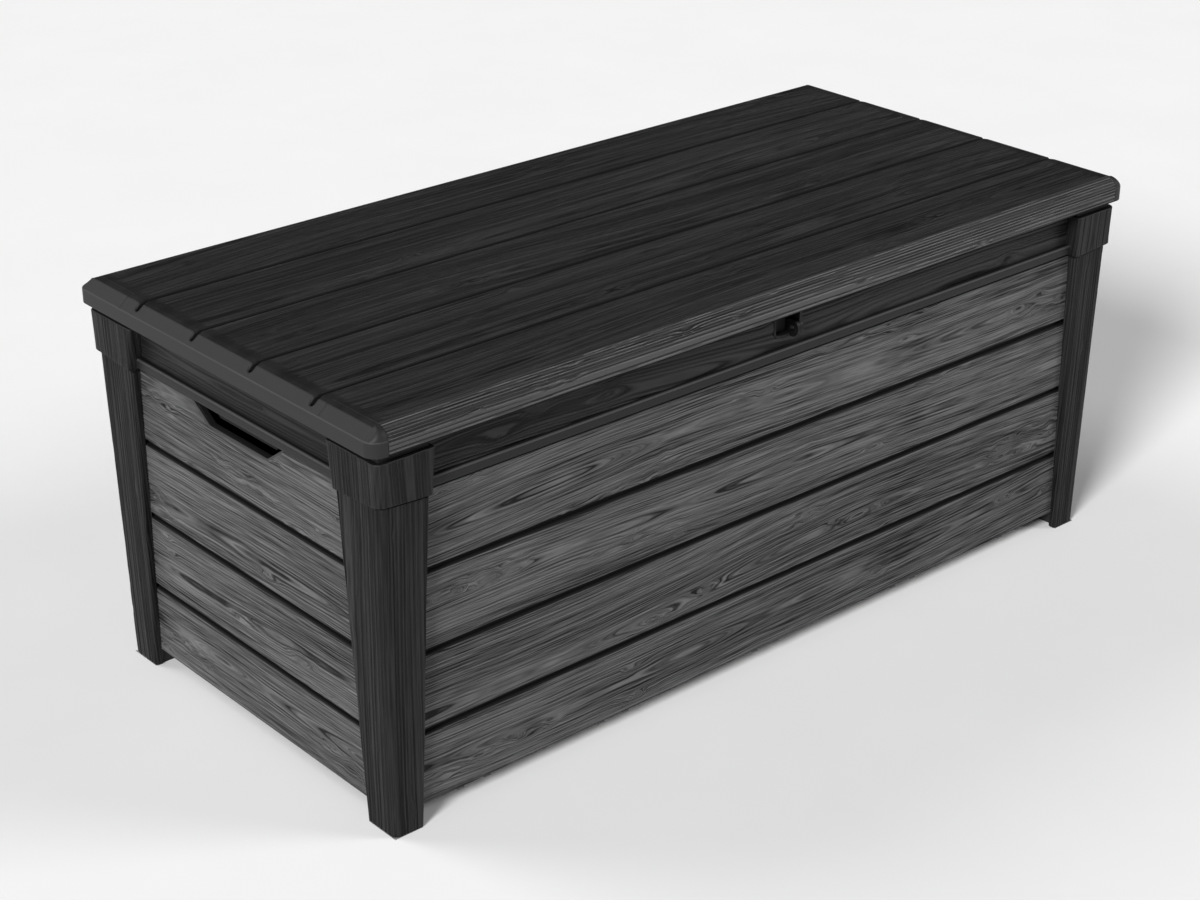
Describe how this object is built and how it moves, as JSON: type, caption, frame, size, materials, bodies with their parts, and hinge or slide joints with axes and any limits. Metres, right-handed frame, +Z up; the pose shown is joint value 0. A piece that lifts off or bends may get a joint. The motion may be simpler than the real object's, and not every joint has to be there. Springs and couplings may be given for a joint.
{
  "type": "deck storage box",
  "caption": "Long resin storage chest with plank-look walls, corner posts, a boarded lid on rear hinges and gas struts, end hand slots and a padlock hasp.",
  "frame": {"origin": "on the ground, in the middle of the footprint", "axes": "+X along the length, to the right when facing the front; the front faces -Y; +Z up"},
  "size_m": [1.45, 0.697, 0.603],
  "materials": {
    "lid_resin": "dark graphite resin, embossed wood grain on boards and nose, smooth at the ends",
    "frame_resin": "dark graphite resin with embossed wood grain, smooth on ledges",
    "panel_resin": "mid grey resin planks with embossed wood grain along their length",
    "floor_resin": "dark grey resin, lightly textured",
    "hasp_resin": "smooth dark resin",
    "beam_steel": "black powder-coated steel tube",
    "hinge_steel": "dark powder-coated steel",
    "bracket_steel": "black painted steel plate",
    "screw_zinc": "bright zinc-plated screws",
    "strut_paint": "satin black painted steel tube",
    "rod_chrome": "polished piston rod",
    "rod_end_plastic": "black glass-filled plastic eye"
  },
  "bodies": {
    "chest": {"back_panel": "panel_resin", "back_rail": "frame_resin", "floor_panel": "floor_resin", "front_panel": "panel_resin", "front_rail": "frame_resin", "hasp_body_tab": "hasp_resin", "hinge_left_body_leaf": "hinge_steel", "hinge_left_pin": "hinge_steel", "hinge_middle_body_leaf": "hinge_steel", "hinge_middle_pin": "hinge_steel", "hinge_right_body_leaf": "hinge_steel", "hinge_right_pin": "hinge_steel", "hinge_screws": "screw_zinc", "left_panel": "panel_resin", "left_rail": "frame_resin", "post_back_left": "frame_resin", "post_back_right": "frame_resin", "post_front_left": "frame_resin", "post_front_right": "frame_resin", "post_screws": "screw_zinc", "right_panel": "panel_resin", "right_rail": "frame_resin", "strut_foot_bracket_left": "bracket_steel", "strut_foot_bracket_right": "bracket_steel", "strut_foot_screws": "screw_zinc"},
    "lid": {"lid_shell": "lid_resin", "lid_beam_front": "beam_steel", "lid_beam_back": "beam_steel", "hasp_lid_tab": "hasp_resin", "hinge_left_lid_leaf": "hinge_steel", "hinge_middle_lid_leaf": "hinge_steel", "hinge_right_lid_leaf": "hinge_steel", "strut_head_bracket_left": "bracket_steel", "strut_head_bracket_right": "bracket_steel", "strut_head_screws": "screw_zinc", "lid_beam_screws": "screw_zinc"},
    "left_cylinder": {"strut_cylinder_left": "strut_paint"},
    "left_rod": {"strut_rod_left": "rod_chrome", "strut_rod_end_left": "rod_end_plastic"},
    "right_cylinder": {"strut_cylinder_right": "strut_paint"},
    "right_rod": {"strut_rod_right": "rod_chrome", "strut_rod_end_right": "rod_end_plastic"}
  },
  "joints": [
    {"name": "lid_hinge", "type": "hinge", "parent": "chest", "child": "lid", "pos_m": [0, 0.337, 0.56], "axis": [-1, 0, 0], "range_deg": [0, 72]},
    {"name": "strut_left_swing", "type": "hinge", "parent": "chest", "child": "left_cylinder", "pos_m": [-0.662, 0.287, 0.37], "axis": [-1, 0, 0], "range_deg": [0, 19.75]},
    {"name": "strut_left_stroke", "type": "slide", "parent": "left_cylinder", "child": "left_rod", "axis": [0, -0.3162, 0.9487], "range_m": [0, 0.102]},
    {"name": "strut_right_swing", "type": "hinge", "parent": "chest", "child": "right_cylinder", "pos_m": [0.662, 0.287, 0.37], "axis": [-1, 0, 0], "range_deg": [0, 19.75]},
    {"name": "strut_right_stroke", "type": "slide", "parent": "right_cylinder", "child": "right_rod", "axis": [0, -0.3162, 0.9487], "range_m": [0, 0.102]}
  ],
  "couplings": [
    {"joint": "strut_left_swing", "follows": "lid_hinge", "ratio": 0.27377},
    {"joint": "strut_left_stroke", "follows": "lid_hinge", "m_per_rad": 0.081059},
    {"joint": "strut_right_swing", "follows": "lid_hinge", "ratio": 0.27377},
    {"joint": "strut_right_stroke", "follows": "lid_hinge", "m_per_rad": 0.081059}
  ]
}
